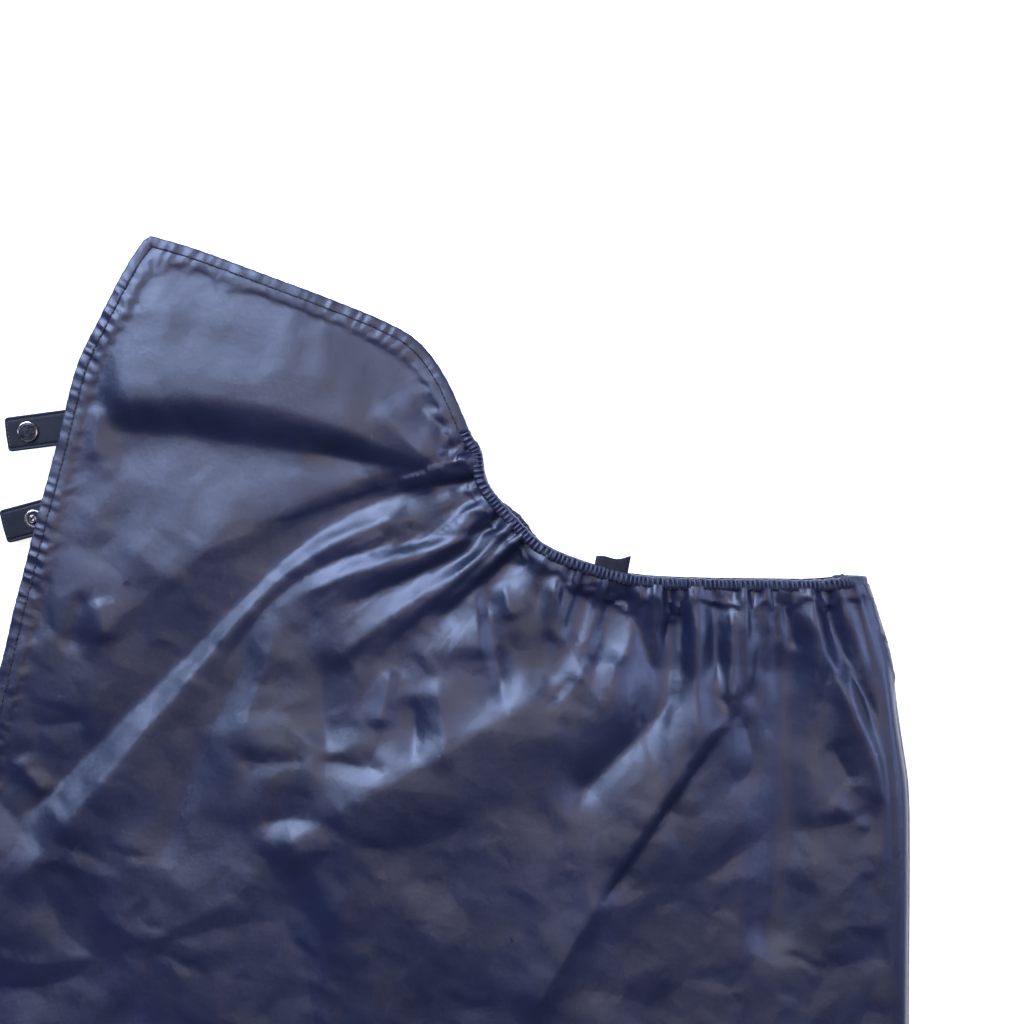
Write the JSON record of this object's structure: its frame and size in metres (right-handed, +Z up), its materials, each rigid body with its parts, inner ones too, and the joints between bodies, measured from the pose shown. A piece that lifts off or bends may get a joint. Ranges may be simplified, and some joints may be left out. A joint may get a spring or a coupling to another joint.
{
  "type": "turnout rug",
  "caption": "Lightweight turnout rug folded in half along its spine, with gathered withers, stitched hems, press-stud chest straps and tucked surcingles.",
  "frame": {"origin": "on the ground under the middle of the folded rug", "axes": "+Y to the neck end, +X to the spine fold, +Z up from the ground"},
  "size_m": [0.7404, 1.3992, 0.03],
  "materials": {
    "taffeta": "coated, semi-gloss",
    "taffeta_trim": "coated, semi-gloss",
    "elastic": "matt",
    "webbing": "woven",
    "nickel": "polished",
    "gunmetal": "satin"
  },
  "bodies": {
    "off_side": {"front_surcingle_hook": "nickel", "front_surcingle_strap": "webbing", "off_belly_hem": "taffeta_trim", "off_front_hem": "taffeta_trim", "off_neck_casing": "taffeta_trim", "off_neck_elastic": "elastic", "off_neck_hem": "taffeta_trim", "off_rear_hem": "taffeta_trim", "off_side_panel": "taffeta", "off_strap_patch": "taffeta_trim", "rear_surcingle_hook": "nickel", "rear_surcingle_strap": "webbing", "spine_fold": "taffeta", "withers_casing_turn": "taffeta_trim"},
    "near_side": {"near_belly_hem": "taffeta_trim", "near_front_hem": "taffeta_trim", "near_neck_casing": "taffeta_trim", "near_neck_elastic": "elastic", "near_neck_hem": "taffeta_trim", "near_rear_hem": "taffeta_trim", "near_side_panel": "taffeta", "near_strap_patch": "taffeta_trim", "withers_tab": "taffeta_trim", "front_eye_tab": "webbing", "front_eye_plate": "nickel", "rear_eye_tab": "webbing", "rear_eye_plate": "nickel"},
    "near_strap": {"near_chest_strap": "taffeta_trim", "snap_cap": "gunmetal", "snap_socket": "nickel"},
    "off_strap": {"off_chest_strap": "taffeta_trim", "snap_stud": "nickel", "snap_post": "nickel"},
    "front_slider": {"front_surcingle_slider": "nickel"},
    "rear_slider": {"rear_surcingle_slider": "nickel"}
  },
  "joints": [
    {"name": "spine_fold_hinge", "type": "hinge", "parent": "off_side", "child": "near_side", "pos_m": [0.357, 0, 0.02], "axis": [0, 1, 0], "range_deg": [0, 180], "deforming": ["spine_fold", "withers_casing_turn"]},
    {"name": "near_strap_hinge", "type": "hinge", "parent": "near_side", "child": "near_strap", "pos_m": [-0.2507, 0.5605, 0.022], "axis": [-0.1323, 0.9912, 0], "range_deg": [0, 90]},
    {"name": "off_strap_hinge", "type": "hinge", "parent": "off_side", "child": "off_strap", "pos_m": [-0.2583, 0.4982, 0.0068], "axis": [-0.2588, 0.9659, 0], "range_deg": [0, 50]},
    {"name": "front_slider_slide", "type": "slide", "parent": "off_side", "child": "front_slider", "axis": [0.9925, 0.1219, 0], "range_m": [-0.18, 0.22]},
    {"name": "rear_slider_slide", "type": "slide", "parent": "off_side", "child": "rear_slider", "axis": [0.9925, -0.1219, 0], "range_m": [-0.18, 0.22]}
  ]
}
